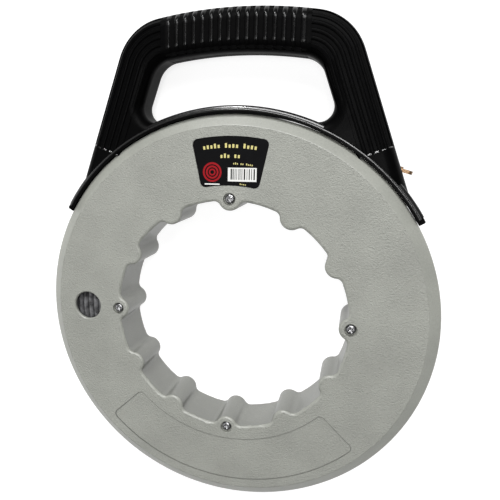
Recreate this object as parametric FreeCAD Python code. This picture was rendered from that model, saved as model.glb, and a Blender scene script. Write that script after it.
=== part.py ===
"""Fish tape reel: a two-shell case that spins inside a rim-hugging carrying handle.

Millimetres. The reel axis is Z and the origin is on it, at the back face. The handle stands towards +Y,
and the front face, with the label and the sight hole, looks towards +Z.
"""
import FreeCAD, Part
import os
from math import atan2, cos, degrees, radians, sin, sqrt

V = FreeCAD.Vector
UP = V(0, 0, 1)
ORIGIN = V(0, 0, 0)

# --- case -------------------------------------------------------------------------------------------
case_radius = 150.0
case_width = 40.0
face_wall = 2.5
rim_wall = 3.0
chamfer_radial = 8.1
chamfer_axial = 5.8
rim_slot_width = 14.0            # gap between the two rims, all the way round
face_edge_round = 1.2
hub_edge_round = 2.0

# --- hub and its finger grips -------------------------------------------------------------------------
groove_radius = 88.9             # finger grooves, measured from the reel axis
bump_count = 12
bump_centre_set_back = 1.3       # the bumps and screws are centred this far outside the groove circle
bump_radius = 8.6
bump_blend = 5.0
hub_wall = 2.5

# --- case screws --------------------------------------------------------------------------------------
case_screw_count = 4
boss_radius = 6.0
screw_shank_radius = 2.0
screw_clearance = 0.2
screw_head_radius = 3.7
screw_head_height = 2.2
screw_head_sunk = 0.5            # from the face down to the top of the head
screw_pocket_radius = 4.6
screw_dome_share = 0.6           # of a head's height is rounded, and as deep is its cross recess
screw_cross_share = 0.55         # of a head's radius is the reach of its cross recess
insert_radius = 3.0
insert_length = 10.0
screw_end_cover = 6.0            # plastic left between the insert and the back face

# --- label, panel and sight hole ----------------------------------------------------------------------
field_hub_margin = 8.4           # both recessed fields start this far outside the hub wall
field_edge_margin = 7.2          # and stop this far short of the rim's chamfer
field_corner = 4.0
label_half_angle = 12.2
label_recess = 1.0
label_thickness = 0.6
label_gap = 0.15
panel_half_angle = 46.4
panel_recess = 0.7
sight_hole_radius = 11.2
sight_hole_chamfer = 0.8

# --- tape ---------------------------------------------------------------------------------------------
tape_diameter = 4.5
coil_hub_gap = 1.0               # between the screw bosses and the wound tape
coil_side_gap = 1.0              # least room at each side of the wound tape
lead_gap = 0.5                   # between the wound tape and the end that leaves it
lead_room = 0.5                  # between that end and the shoes
tape_foot_angle = 73.6           # where the outgoing end touches the coil
lead_inner_reach = 28.0          # how far the outgoing end reaches back past that point
anchor_angle = 45.0
anchor_boss_radius = 2.6
anchor_gap = 0.2                 # between the post and the hub wall
anchor_boss_height = 9.0
anchor_pin_radius = 1.2
anchor_pin_length = 18.0
anchor_ring_radius = 2.6
anchor_ring_height = 3.0

# --- handle -------------------------------------------------------------------------------------------
finger_room = 36.4               # between the saddle and the grip
crown_radius = 341.0
grip_thickness = 29.7
handle_set_in = 4.0              # each face of the handle lies this far inside the case's face
handle_edge_round = 9.0
handle_wall = 3.0
leg_lean = 20.0                  # each leg leans in by this much
leg_tuck = 2.4                   # the outer side of a leg would pass this far inside the case rim
leg_thickness = 28.9
shoulder_round = 40.0
window_top_round = 18.0
window_foot_round = 10.0
saddle_gap = 0.4                 # between the case rim and the saddle
saddle_thickness = 4.8
saddle_half_angle = 59.7
saddle_set_in = 6.0
saddle_edge_round = 1.2
lip_thickness = 2.8
lip_half_angle = 58.5
lip_set_in = 2.5
foot_height = 16.8               # the legs are solid up to this far above the saddle

# --- grip inlays --------------------------------------------------------------------------------------
rib_count = 16
rib_pitch = 6.3
rib_width = 2.0
rib_height = 0.8
rib_stop = 1.7                   # the ribs end this far from the grip's underside
inlay_thickness = 1.6
inlay_margin = 2.6               # from the last rib's centre to the inlay's end

# --- leg ridges ---------------------------------------------------------------------------------------
ridge_count = 5
ridge_width = 2.0
ridge_height = 0.7
ridge_margin = 0.9               # from the sides of the leg to the outermost valleys
ridge_end = 34.5                 # along the leg, from where its outer side meets the saddle

# --- handle screws ------------------------------------------------------------------------------------
foot_screw_rise = 16.3           # along the leg, from the saddle to the lowest screw
crown_screw_drop = 17.8          # along the leg, from the crown to the highest screw
handle_screw_shank = 1.7
handle_screw_head = 3.2
handle_screw_head_height = 2.0
handle_screw_pocket = 4.0
handle_screw_pocket_depth = 4.5
handle_boss_radius = 4.6
handle_insert_radius = 2.5
handle_insert_length = 5.0

# --- rim shoes ----------------------------------------------------------------------------------------
shoe_gap = 0.3
shoe_flange_thickness = 3.4
shoe_side_gap = 1.7              # between the flange's edge and the case's sloping wall
shoe_start = 26.0                # from the handle's middle line to a shoe's ends
shoe_end = 54.0
shoe_web_rise = 2.6              # how far the web goes into the saddle
lug_half_angle = 3.6
lug_cover = 4.5                  # from the lowest screw's centre to the lug's end
lug_fit = 0.1

# --- tape guide and tape tip --------------------------------------------------------------------------
guide_radius = 4.4
guide_gap = 0.3                  # round the tape
guide_length = 13.0
tape_bore_gap = 0.6
ferrule_gap = 0.05
ferrule_length = 14.0
ferrule_stand_out = 0.9
crimp_place = 4.0                # from the ferrule's end to its crimped ring
crimp_width = 1.0
crimp_bite = 0.3                 # into the tape
eye_length = 6.9
eye_thickness = 2.4
eye_width = 6.2
eye_round = 2.85
eye_hole_radius = 1.3

# --- worked out ---------------------------------------------------------------------------------------
middle = case_width / 2
slot_top = middle + rim_slot_width / 2
face_edge_radius = case_radius - chamfer_radial
rim_inner_radius = case_radius - rim_wall
face_inner = case_width - face_wall
hub_outer_radius = groove_radius + hub_wall
bump_circle_radius = groove_radius + bump_centre_set_back
band_inner_radius = hub_outer_radius + field_hub_margin
band_outer_radius = face_edge_radius - field_edge_margin
sight_hole_place = (band_inner_radius + band_outer_radius) / 2
inner_slope = chamfer_axial / chamfer_radial
inner_slant_top = case_width - face_wall * sqrt(1 + inner_slope ** 2)
inner_slant_start = face_edge_radius - (face_inner - inner_slant_top) / inner_slope
inner_slant_end = inner_slant_top - inner_slope * (rim_inner_radius - face_edge_radius)
flange_outer_radius = rim_inner_radius - shoe_gap
flange_inner_radius = flange_outer_radius - shoe_flange_thickness
flange_half_width = inner_slant_end - middle - shoe_side_gap
web_half_width = rim_slot_width / 2 - shoe_gap
handle_insert_bottom = middle + web_half_width + 2 * lug_fit
handle_insert_top = handle_insert_bottom + handle_insert_length
tape_radius = tape_diameter / 2
coil_edge_round = 0.9 * tape_radius   # the outermost turns round off the coil's edges
coil_inner_radius = bump_circle_radius + boss_radius + coil_hub_gap
coil_room = flange_inner_radius - lead_room - tape_diameter - lead_gap - coil_inner_radius
turns_deep = int(coil_room / tape_diameter)
turns_across = int((case_width - 2 * face_wall - 2 * coil_side_gap) / tape_diameter)
coil_outer_radius = coil_inner_radius + turns_deep * tape_diameter
coil_width = turns_across * tape_diameter
tape_offset = coil_outer_radius + lead_gap + tape_radius
anchor_place = hub_outer_radius + anchor_boss_radius + anchor_gap
saddle_inner_radius = case_radius + saddle_gap
saddle_outer_radius = saddle_inner_radius + saddle_thickness
lip_radius = saddle_inner_radius + lip_thickness
foot_radius = saddle_outer_radius + foot_height
handle_back_face = handle_set_in
handle_front_face = case_width - handle_set_in
handle_top = saddle_outer_radius + finger_room + grip_thickness
leg_offset = case_radius - leg_tuck
leg_middle = leg_offset - leg_thickness / 2
crown_centre = handle_top - crown_radius
shoe_web_radius = saddle_inner_radius + shoe_web_rise
far = 2 * case_radius            # larger than the whole object, for cutting tools
past = 1.0                       # how far tools run past faces, and joined solids into each other


def cylinder(radius, bottom, top, x=0.0, y=0.0):
    return Part.makeCylinder(radius, top - bottom, V(x, y, bottom))


def polar(radius, angle, height=0.0):
    return V(radius * cos(radians(angle)), radius * sin(radians(angle)), height)


def upright_edges(shape, test=lambda point: True):
    """Edges that run along Z and whose foot passes the test."""
    found = []
    for edge in shape.Edges:
        box = edge.BoundBox
        if box.XLength < 0.01 and box.YLength < 0.01 and test(edge.Vertexes[0].Point):
            found.append(edge)
    return found


def level_edges(shape, height, test=lambda centre: True):
    """Edges that lie at one height and whose middle passes the test."""
    found = []
    for edge in shape.Edges:
        box = edge.BoundBox
        halfway = (edge.FirstParameter + edge.LastParameter) / 2
        if abs(box.ZMin - height) < 0.01 and box.ZLength < 0.02 and test(edge.valueAt(halfway)):
            found.append(edge)
    return found


def from_axis(point):
    return sqrt(point.x ** 2 + point.y ** 2)


def direction_of(point):
    return degrees(atan2(point.y, point.x))


def sector(inner, outer, half_angle, centre_angle, bottom, top):
    """Part of a ring, spread evenly about centre_angle."""
    whole = Part.makeCylinder(outer, top - bottom, V(0, 0, bottom), UP, 2 * half_angle)
    ring = whole.cut(cylinder(inner, bottom - past, top + past))
    ring.rotate(ORIGIN, UP, centre_angle - half_angle)
    return ring


def field(inner, outer, half_angle, centre_angle, bottom, top, corner):
    """A sector with rounded corners."""
    shape = sector(inner, outer, half_angle, centre_angle, bottom, top)
    return shape.makeFillet(corner, upright_edges(shape))


def flipped(shape):
    """The same shape on the back of the case: turned over about the middle line of the handle."""
    turned = shape.copy()
    turned.rotate(V(0, 0, middle), V(0, 1, 0), 180)
    return turned


# --- case ---------------------------------------------------------------------------------------------

def bump_angles():
    return [360.0 / bump_count * index for index in range(bump_count)]


def screw_angles():
    return [360.0 / case_screw_count * index for index in range(case_screw_count)]


def hand_hole():
    """The grooved hole that the fingers turn the reel by."""
    hole = cylinder(groove_radius, -past, case_width + past)
    for angle in bump_angles():
        place = polar(bump_circle_radius, angle)
        hole = hole.cut(cylinder(bump_radius, -2 * past, case_width + 2 * past, place.x, place.y))
    return hole.makeFillet(bump_blend, upright_edges(hole))


def shell_blank():
    """The front shell as turned on a lathe, from the middle of the reel to the front face."""
    outline = [
        (groove_radius - 2 * bump_radius, middle),
        (groove_radius - 2 * bump_radius, case_width),
        (face_edge_radius, case_width),
        (case_radius, case_width - chamfer_axial),
        (case_radius, slot_top),
        (rim_inner_radius, slot_top),
        (rim_inner_radius, inner_slant_end),
        (inner_slant_start, face_inner),
        (hub_outer_radius, face_inner),
        (hub_outer_radius, middle),
    ]
    points = [V(radius, 0, height) for radius, height in outline + outline[:1]]
    blank = Part.Face(Part.makePolygon(points)).revolve(ORIGIN, UP, 360)
    rounded = level_edges(blank, case_width, lambda point: abs(from_axis(point) - face_edge_radius) < 0.1)
    rounded += level_edges(blank, case_width - chamfer_axial)
    return blank.makeFillet(face_edge_round, rounded)


def case_half():
    """What both shells share, made as the front one."""
    half = shell_blank()
    for angle in screw_angles():
        place = polar(bump_circle_radius, angle)
        half = half.fuse(cylinder(boss_radius, middle, face_inner, place.x, place.y))
    half = half.cut(hand_hole())
    mouth = level_edges(half, case_width, lambda point: from_axis(point) < hub_outer_radius)
    half = half.makeFillet(hub_edge_round, mouth)
    for angle in bump_angles():
        if angle in screw_angles():
            continue
        place = polar(bump_circle_radius, angle)
        half = half.cut(cylinder(bump_radius - hub_wall, middle - past, face_inner, place.x, place.y))
    recess = field(band_inner_radius, band_outer_radius, label_half_angle, 90,
                   case_width - label_recess, case_width + past, field_corner)
    panel = field(band_inner_radius, band_outer_radius, panel_half_angle, -90,
                  case_width - panel_recess, case_width + past, field_corner)
    sight = cylinder(sight_hole_radius, face_inner - past, case_width + past, -sight_hole_place)
    flare = Part.makeCone(sight_hole_radius, sight_hole_radius + sight_hole_chamfer, sight_hole_chamfer,
                          V(-sight_hole_place, 0, case_width - sight_hole_chamfer))
    return half.cut([recess, panel, sight, flare])


def front_case():
    half = case_half()
    for angle in screw_angles():
        place = polar(bump_circle_radius, angle)
        pocket_floor = case_width - screw_head_sunk - screw_head_height
        half = half.cut(cylinder(screw_shank_radius + screw_clearance, middle - past, case_width + past,
                                 place.x, place.y))
        half = half.cut(cylinder(screw_pocket_radius, pocket_floor, case_width + past, place.x, place.y))
    return half


def back_case():
    half = flipped(case_half())
    for angle in screw_angles():
        place = polar(bump_circle_radius, angle)
        half = half.cut(cylinder(screw_shank_radius + screw_clearance, screw_end_cover, middle + past,
                                 place.x, place.y))
        half = half.cut(cylinder(insert_radius, screw_end_cover, screw_end_cover + insert_length,
                                 place.x, place.y))
    post = polar(anchor_place, anchor_angle)
    half = half.fuse(cylinder(anchor_boss_radius, face_wall, face_wall + anchor_boss_height, post.x, post.y))
    return half.cut(cylinder(anchor_pin_radius, face_wall + past, middle, post.x, post.y))


def cross_recess(size, depth, top):
    """The tool that cuts a cross-shaped driver recess."""
    arm = Part.makeBox(2 * size, size / 3, depth, V(-size, -size / 6, top - depth))
    other = Part.makeBox(size / 3, 2 * size, depth, V(-size / 6, -size, top - depth))
    return arm.fuse(other)


def pan_screw(shank, head, head_height, head_bottom, length):
    """A pan-head screw on the Z axis that points down."""
    body = cylinder(head, head_bottom, head_bottom + head_height)
    top = head_bottom + head_height
    dome = head_height * screw_dome_share
    body = body.makeFillet(dome, level_edges(body, top))
    body = body.cut(cross_recess(head * screw_cross_share, dome, top))
    return body.fuse(cylinder(shank, head_bottom - length, head_bottom))


def placed(shape, places):
    """One copy of a shape at each place, as separate solids."""
    copies = []
    for place in places:
        copy = shape.copy()
        copy.translate(place)
        copies.append(copy)
    return Part.makeCompound(copies)


def case_screws():
    head_bottom = case_width - screw_head_sunk - screw_head_height
    screw = pan_screw(screw_shank_radius, screw_head_radius, screw_head_height, head_bottom,
                      head_bottom - screw_end_cover)
    return placed(screw, [polar(bump_circle_radius, angle) for angle in screw_angles()])


def case_inserts():
    top = screw_end_cover + insert_length
    insert = cylinder(insert_radius, screw_end_cover, top).cut(cylinder(screw_shank_radius, 0, top + past))
    return placed(insert, [polar(bump_circle_radius, angle) for angle in screw_angles()])


def front_label():
    bottom = case_width - label_recess
    turn = degrees(label_gap / band_inner_radius)
    return field(band_inner_radius + label_gap, band_outer_radius - label_gap, label_half_angle - turn, 90,
                 bottom, bottom + label_thickness, field_corner)


# --- tape ---------------------------------------------------------------------------------------------

def wound_tape():
    bottom = middle - coil_width / 2
    top = middle + coil_width / 2
    coil = cylinder(coil_outer_radius, bottom, top)
    coil = coil.cut(cylinder(coil_inner_radius, bottom - past, top + past))
    edges = level_edges(coil, top) + level_edges(coil, bottom)
    return coil.makeFillet(coil_edge_round, edges)


def anchor_pin():
    post = polar(anchor_place, anchor_angle)
    bottom = face_wall + past
    return cylinder(anchor_pin_radius, bottom, bottom + anchor_pin_length, post.x, post.y)


def anchor_ring():
    post = polar(anchor_place, anchor_angle)
    bottom = face_wall + anchor_boss_height
    ring = cylinder(anchor_ring_radius, bottom, bottom + anchor_ring_height, post.x, post.y)
    return ring.cut(cylinder(anchor_pin_radius, bottom - past, middle + past, post.x, post.y))


def tape_direction():
    return polar(1.0, tape_foot_angle - 90)


def along_tape(distance):
    """A point on the outgoing tape's axis, measured from where it leaves the coil."""
    return polar(tape_offset, tape_foot_angle, middle) + tape_direction() * distance


def tape_exit():
    """How far along the outgoing tape the side of the leg is."""
    side = polar(1.0, leg_lean)
    return (leg_offset - along_tape(0).dot(side)) / tape_direction().dot(side)


def rod(radius, start, end):
    """A round rod on the outgoing tape's axis."""
    return Part.makeCylinder(radius, end - start, along_tape(start), tape_direction())


def tape_end():
    return rod(tape_radius, -lead_inner_reach, tape_exit() + ferrule_stand_out - ferrule_length)


def tip_ferrule():
    end = tape_exit() + ferrule_stand_out
    ferrule = rod(tape_radius + ferrule_gap, end - ferrule_length, end)
    crimp = rod(tape_radius + ferrule_gap, end - crimp_place - crimp_width, end - crimp_place)
    return ferrule.cut(crimp.cut(rod(tape_radius - crimp_bite, end - ferrule_length, end)))


def tip_eye():
    """A flat tongue with a hole, too wide to be drawn into the guide."""
    start = tape_exit() + ferrule_stand_out
    tongue = Part.makeBox(eye_length, eye_thickness, eye_width, V(0, -eye_thickness / 2, -eye_width / 2))
    crosswise = [edge for edge in tongue.Edges
                 if edge.BoundBox.YLength > eye_thickness * 0.9 and edge.BoundBox.XMin > eye_length * 0.9]
    tongue = tongue.makeFillet(eye_round, crosswise)
    hole = Part.makeCylinder(eye_hole_radius, eye_thickness * 2,
                             V(eye_length - eye_width / 2, -eye_thickness, 0), V(0, 1, 0))
    tongue = tongue.cut(hole)
    tongue.rotate(ORIGIN, UP, tape_foot_angle - 90)
    tongue.translate(along_tape(start))
    return tongue


# --- handle -------------------------------------------------------------------------------------------

def side_block(angle, distance, bottom, top):
    """Everything nearer to the axis than a plane that faces the given angle."""
    block = Part.makeBox(far + distance, 2 * far, top - bottom, V(-far, -far, bottom))
    block.rotate(ORIGIN, UP, angle)
    return block


def crowned(radius, offset, bottom, top):
    """The shape between two leaning sides and under a shallow crown."""
    shape = cylinder(radius, bottom, top, 0, crown_centre)
    shape = shape.common(side_block(leg_lean, offset, bottom, top))
    return shape.common(side_block(180 - leg_lean, offset, bottom, top))


def outline_block(inset, bottom, top):
    """The handle's outer outline, drawn in by an inset."""
    block = crowned(crown_radius - inset, leg_offset - inset, bottom, top)
    block = block.common(Part.makeBox(far, far, top - bottom, V(-far / 2, case_radius / 2, bottom)))
    shoulders = upright_edges(block, lambda point: point.y > handle_top - 2 * grip_thickness)
    return block.makeFillet(shoulder_round - inset, shoulders)


def finger_opening(inset, bottom, top):
    """The opening under the grip, let out by an inset."""
    tool = crowned(crown_radius - grip_thickness + inset, leg_offset - leg_thickness + inset, bottom, top)
    tool = tool.cut(cylinder(saddle_outer_radius - inset, bottom - past, top + past))
    above = [solid for solid in tool.Solids if solid.CenterOfMass.y > 0]
    tool = above[0]
    upper = upright_edges(tool, lambda point: point.y > handle_top - 2 * grip_thickness)
    tool = tool.makeFillet(window_top_round + inset, upper)
    lower = upright_edges(tool, lambda point: from_axis(point) < saddle_outer_radius - inset + 0.01)
    return tool.makeFillet(window_foot_round + inset, lower)


def handle_loop(inset):
    """The handle's closed loop, all its faces drawn in by an inset."""
    bottom = handle_back_face + inset
    top = handle_front_face - inset
    loop = outline_block(inset, bottom, top).cut(finger_opening(inset, bottom - past, top + past))
    rims = level_edges(loop, bottom, lambda point: point.y > case_radius / 2 + 1)
    rims += level_edges(loop, top, lambda point: point.y > case_radius / 2 + 1)
    return loop.makeFillet(handle_edge_round - inset, rims)


def saddle():
    """The arc that hugs the rim of the case, with a wider lip against the rim."""
    crown = sector(saddle_inner_radius, saddle_outer_radius, saddle_half_angle, 90,
                   saddle_set_in, case_width - saddle_set_in)
    tips = [edge for edge in upright_edges(crown) if from_axis(edge.Vertexes[0].Point) > lip_radius]
    crown = crown.makeFillet(saddle_edge_round, tips)
    lip = sector(saddle_inner_radius, lip_radius, lip_half_angle, 90, lip_set_in, case_width - lip_set_in)
    return crown.fuse(lip)


def on_leg(distance, side):
    """A point on a leg's middle line, measured up the leg from where the line passes the reel axis."""
    point = polar(leg_middle, leg_lean) + polar(distance, leg_lean + 90)
    return V(side * point.x, point.y, 0)


def leg_screw_distances():
    """The lowest, middle and highest screw of a leg."""
    lowest = sqrt(saddle_outer_radius ** 2 - leg_middle ** 2) + foot_screw_rise
    towards = polar(leg_middle, leg_lean) - V(0, crown_centre, 0)
    along = towards.dot(polar(1.0, leg_lean + 90))
    crown = sqrt(crown_radius ** 2 - towards.Length ** 2 + along ** 2) - along
    highest = crown - crown_screw_drop
    return [lowest, (lowest + highest) / 2, highest]


def handle_screw_points():
    return [on_leg(distance, side) for distance in leg_screw_distances() for side in (1, -1)]


def lug_place(side):
    return on_leg(leg_screw_distances()[0], side)


def rib_positions():
    return [rib_pitch * (index - (rib_count - 1) / 2) for index in range(rib_count)]


def inlay_half_length():
    return rib_positions()[-1] + inlay_margin


def inlay_zone(margin):
    half = inlay_half_length() + margin
    low = handle_top - 1.5 * grip_thickness
    return Part.makeBox(2 * half, far, far, V(-half, low, middle - far / 2))


def ridge_valleys():
    """The hollows along the shoulders and legs that leave long ridges between them."""
    skin = handle_loop(0).cut(handle_loop(ridge_height))
    pitch = leg_thickness / (ridge_count + 1)
    starts = [ridge_margin] + [pitch * (index + 1) + ridge_width / 2 for index in range(ridge_count)]
    ends = [pitch * (index + 1) - ridge_width / 2 for index in range(ridge_count)]
    ends.append(leg_thickness - ridge_margin)
    low = handle_back_face - past
    high = handle_front_face + past
    rings = [outline_block(start, low, high).cut(outline_block(end, low, high))
             for start, end in zip(starts, ends)]
    tool = skin.common(Part.makeCompound(rings)).cut(inlay_zone(inlay_margin))
    lowest = sqrt(saddle_outer_radius ** 2 - leg_offset ** 2) + ridge_end
    for angle in (90 + leg_lean, 90 - leg_lean):
        tool = tool.cut(side_block(angle, lowest, low, high))
    return tool


def shoe(side):
    """A T-section runner inside the rim slot. side is 1 on the right and -1 on the left."""
    half = (shoe_end - shoe_start) / 2
    centre = 90 - side * (shoe_start + half)
    flange = sector(flange_inner_radius, flange_outer_radius, half, centre,
                    middle - flange_half_width, middle + flange_half_width)
    web = sector(flange_outer_radius - past, shoe_web_radius, half, centre,
                 middle - web_half_width, middle + web_half_width)
    screw = lug_place(side)
    lug = sector(shoe_web_radius - past, from_axis(screw) + lug_cover, lug_half_angle, direction_of(screw),
                 middle - web_half_width, middle + web_half_width)
    body = flange.fuse([web, lug])
    body = body.cut(cylinder(handle_screw_shank, 0, case_width, screw.x, screw.y))
    if side > 0:
        body = body.cut(rod(tape_radius + tape_bore_gap, -lead_inner_reach, tape_exit()))
        body = body.cut(rod(guide_radius + lug_fit, tape_exit() - guide_length - lug_fit, tape_exit()))
    return body.removeSplitter()


def shoe_pockets():
    """Room for the shoes' webs and lugs inside the handle."""
    low = middle - web_half_width - lug_fit
    high = middle + web_half_width + lug_fit
    turn = degrees(lug_fit / case_radius)
    tools = []
    for side in (1, -1):
        centre = 90 - side * (shoe_start + shoe_end) / 2
        screw = lug_place(side)
        tools.append(sector(case_radius, shoe_web_radius + lug_fit, (shoe_end - shoe_start) / 2 + turn,
                            centre, low, high))
        tools.append(sector(case_radius, from_axis(screw) + lug_cover + lug_fit, lug_half_angle + turn,
                            direction_of(screw), low, high))
    return tools


def tape_guide():
    """The bush that the tape leaves by, cut flush with the side of the leg."""
    end = tape_exit() + guide_radius * 2
    bush = rod(guide_radius, tape_exit() - guide_length, end)
    bush = bush.common(side_block(leg_lean, leg_offset, 0, case_width))
    return bush.cut(rod(tape_radius + guide_gap, 0, end + past))


def whole_handle():
    """Both handle halves in one, before the split."""
    hollow = handle_loop(handle_wall)
    hollow = hollow.cut(cylinder(foot_radius, 0, case_width))
    for point in handle_screw_points():
        hollow = hollow.cut(cylinder(handle_boss_radius, 0, case_width, point.x, point.y))
    body = handle_loop(0).fuse(saddle())
    body = body.cut(ridge_valleys())
    body = body.cut(handle_loop(0).cut(handle_loop(inlay_thickness)).common(inlay_zone(0)))
    body = body.cut(cylinder(saddle_inner_radius, -past, case_width + past))
    body = body.cut([hollow] + shoe_pockets())
    body = body.cut(rod(tape_radius + tape_bore_gap, 0, tape_exit() + guide_radius * 2))
    body = body.cut(rod(guide_radius, tape_exit() - guide_length, tape_exit() + guide_radius * 2))
    for point in handle_screw_points():
        body = body.cut(cylinder(handle_screw_shank + screw_clearance, handle_back_face - past,
                                 handle_insert_bottom, point.x, point.y))
        body = body.cut(cylinder(handle_screw_pocket, -past, handle_back_face + handle_screw_pocket_depth,
                                 point.x, point.y))
        body = body.cut(cylinder(handle_insert_radius, handle_insert_bottom, handle_insert_top,
                                 point.x, point.y))
    return body


def front_side():
    return Part.makeBox(2 * far, 2 * far, far, V(-far, -far, middle))


def grip_skin():
    """Both grip inlays in one, before the split, with hollows that leave the ribs standing."""
    outer = handle_loop(0)
    skin = outer.cut(handle_loop(inlay_thickness)).common(inlay_zone(0))
    hollow_layer = outer.cut(handle_loop(rib_height))
    underside = cylinder(crown_radius - grip_thickness + rib_stop, -past, case_width + past, 0, crown_centre)
    hollow_layer = hollow_layer.cut(underside)
    slabs = []
    for position in rib_positions()[:-1]:
        left = position + rib_width / 2
        slabs.append(Part.makeBox(rib_pitch - rib_width, far, far, V(left, 0, middle - far / 2)))
    return skin.cut(hollow_layer.common(Part.makeCompound(slabs)))


def handle_screws():
    head_bottom = -(handle_back_face + handle_screw_pocket_depth)
    length = handle_insert_top + head_bottom
    screw = pan_screw(handle_screw_shank, handle_screw_head, handle_screw_head_height, head_bottom, length)
    screw.rotate(ORIGIN, V(0, 1, 0), 180)
    return placed(screw, handle_screw_points())


def handle_inserts():
    insert = cylinder(handle_insert_radius, handle_insert_bottom, handle_insert_top)
    insert = insert.cut(cylinder(handle_screw_shank, 0, case_width))
    return placed(insert, handle_screw_points())


# --- all the nodes ------------------------------------------------------------------------------------

def build():
    handle = whole_handle()
    skin = grip_skin()
    front = front_side()
    label = front_label()
    return {
        "front_case": front_case(),
        "back_case": back_case(),
        "case_screws": case_screws(),
        "case_inserts": case_inserts(),
        "front_label": label,
        "back_label": flipped(label),
        "wound_tape": wound_tape(),
        "anchor_pin": anchor_pin(),
        "anchor_ring": anchor_ring(),
        "handle_front": handle.common(front),
        "handle_back": handle.cut(front),
        "grip_inlay_front": skin.common(front),
        "grip_inlay_back": skin.cut(front),
        "handle_screws": handle_screws(),
        "handle_inserts": handle_inserts(),
        "shoe_right": shoe(1),
        "shoe_left": shoe(-1),
        "tape_guide": tape_guide(),
        "tape_end": tape_end(),
        "tip_ferrule": tip_ferrule(),
        "tip_eye": tip_eye(),
    }


os.makedirs("parts", exist_ok=True)
for node, shape in build().items():
    print(node, len(shape.Solids), "solids", round(shape.Volume), "mm3", "valid", shape.isValid())
    shape.exportStep(os.path.join("parts", node + ".step"))
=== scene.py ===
"""Fish tape reel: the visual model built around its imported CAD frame, laid out as an add-on.

Metres, in the frame of the CAD: the reel axis is Z, the reel lies on its back face at Z = 0, and the
handle stands towards +Y.
"""
from math import atan2, cos, pi, radians, sin, sqrt

import bmesh
import bpy
import numpy as np
from mathutils import Matrix, Vector


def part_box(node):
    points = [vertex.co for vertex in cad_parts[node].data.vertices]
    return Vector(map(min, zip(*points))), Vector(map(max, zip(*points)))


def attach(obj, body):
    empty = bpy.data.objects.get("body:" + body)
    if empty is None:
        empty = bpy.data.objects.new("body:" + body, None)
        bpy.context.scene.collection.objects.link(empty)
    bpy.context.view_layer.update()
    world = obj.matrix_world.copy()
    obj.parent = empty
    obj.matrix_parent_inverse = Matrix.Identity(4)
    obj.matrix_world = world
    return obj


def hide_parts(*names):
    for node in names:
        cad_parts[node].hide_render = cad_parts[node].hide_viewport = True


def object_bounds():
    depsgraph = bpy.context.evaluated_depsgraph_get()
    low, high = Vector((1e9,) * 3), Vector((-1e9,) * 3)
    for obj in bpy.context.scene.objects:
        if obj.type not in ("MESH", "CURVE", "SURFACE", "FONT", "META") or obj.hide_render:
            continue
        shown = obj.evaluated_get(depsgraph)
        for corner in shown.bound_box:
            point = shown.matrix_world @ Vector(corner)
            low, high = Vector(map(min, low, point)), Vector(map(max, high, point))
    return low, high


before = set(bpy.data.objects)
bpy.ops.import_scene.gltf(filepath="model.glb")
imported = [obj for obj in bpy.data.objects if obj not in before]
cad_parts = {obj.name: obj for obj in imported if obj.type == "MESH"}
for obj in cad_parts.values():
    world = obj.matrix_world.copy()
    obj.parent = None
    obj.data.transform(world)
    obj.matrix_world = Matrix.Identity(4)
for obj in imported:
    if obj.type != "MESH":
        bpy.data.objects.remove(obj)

cad_low, cad_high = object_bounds()

bl_info = {
    "name": "Fish tape reel",
    "version": (1, 0, 0),
    "blender": (4, 5, 0),
    "location": "3D View > Sidebar > Fish tape reel",
    "description": "Builds the case, tape, handle and labels of a fish tape reel",
    "category": "Object",
}

MM = 0.001

# --- places taken from the frame ----------------------------------------------------------------------
coil_low, coil_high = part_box("wound_tape")
screw_low, screw_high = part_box("case_screws")
handle_screw_low, handle_screw_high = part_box("handle_screws")
grip_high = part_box("grip_inlay_front")[1]
LABEL_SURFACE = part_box("front_label")[1].z
CASE_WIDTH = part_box("front_case")[1].z
MIDDLE = CASE_WIDTH / 2
COIL_OUTER = coil_high.x

# --- the printed shapes, in millimetres and degrees -----------------------------------------------------
# rows of blocks: middle radius, height, angle of the start, blocks in each group, pitch
LABEL_ROWS = ((128.0, 3.2, -8.9, (5, 4, 4), 1.2), (120.9, 3.0, -3.3, (3, 2), 1.2),
              (115.6, 1.4, 1.2, (3, 2, 4), 0.66), (101.4, 1.0, 4.2, (4,), 0.7))
BLOCK_HEIGHTS = (1.0, 0.7, 0.8, 0.72)       # shares of the row's height, in turn
BLOCK_SHARE = 0.56                          # of the pitch
SIGN_CENTRE = (-13.0, 109.2)
SIGN_RINGS = ((5.6, 7.0), (3.4, 4.7), (1.4, 2.5))
BAR = ((-18.6, 100.2), (-7.4, 101.1))
STRIPED_BOX = ((-1.4, 102.9), (19.4, 112.6))
STRIPES = ((0.6, 17.4), (104.2, 111.8))     # across and up
STRIPE_WIDTHS = (0.4, 1.0, 0.5, 0.7)
STRIPE_GAPS = (0.8, 0.5, 1.1)
STRIPE_MIX = 1.7                            # picks each stripe's width and gap from its place

# --- how the surfaces are finished ----------------------------------------------------------------------
# wear: lump size, detail, roughness taken off and put on; tone: size, detail, darkest share of the colour;
# relief: size, detail, height
FINISHES = {
    "black": {"wear": (20 * MM, 4.0, 0.03, 0.08), "tone": (4 * MM, 3.0, 0.7),
              "relief": (12 * MM, 2.0, 0.12 * MM)},
    "smooth": {"wear": (8 * MM, 3.0, 0.07, 0.1), "tone": (5 * MM, 3.0, 0.85),
               "relief": (1.2 * MM, 2.0, 0.03 * MM)},
    "metal": {"wear": (0.6 * MM, 3.0, 0.08, 0.12), "tone": (3 * MM, 3.0, 0.82),
              "relief": (0.6 * MM, 2.0, 0.02 * MM)},
    "ink": {"tone": (0.4 * MM, 2.0, 0.93), "relief": (0.3 * MM, 2.0, 0.01 * MM)},
}
NOISE_RANGE = (0.3, 0.7)                    # where nearly all of a noise pattern lies
TOOL_MARKS = (1.0, 1.0, 6.0)                # squeezes the marks along the axis

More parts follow.
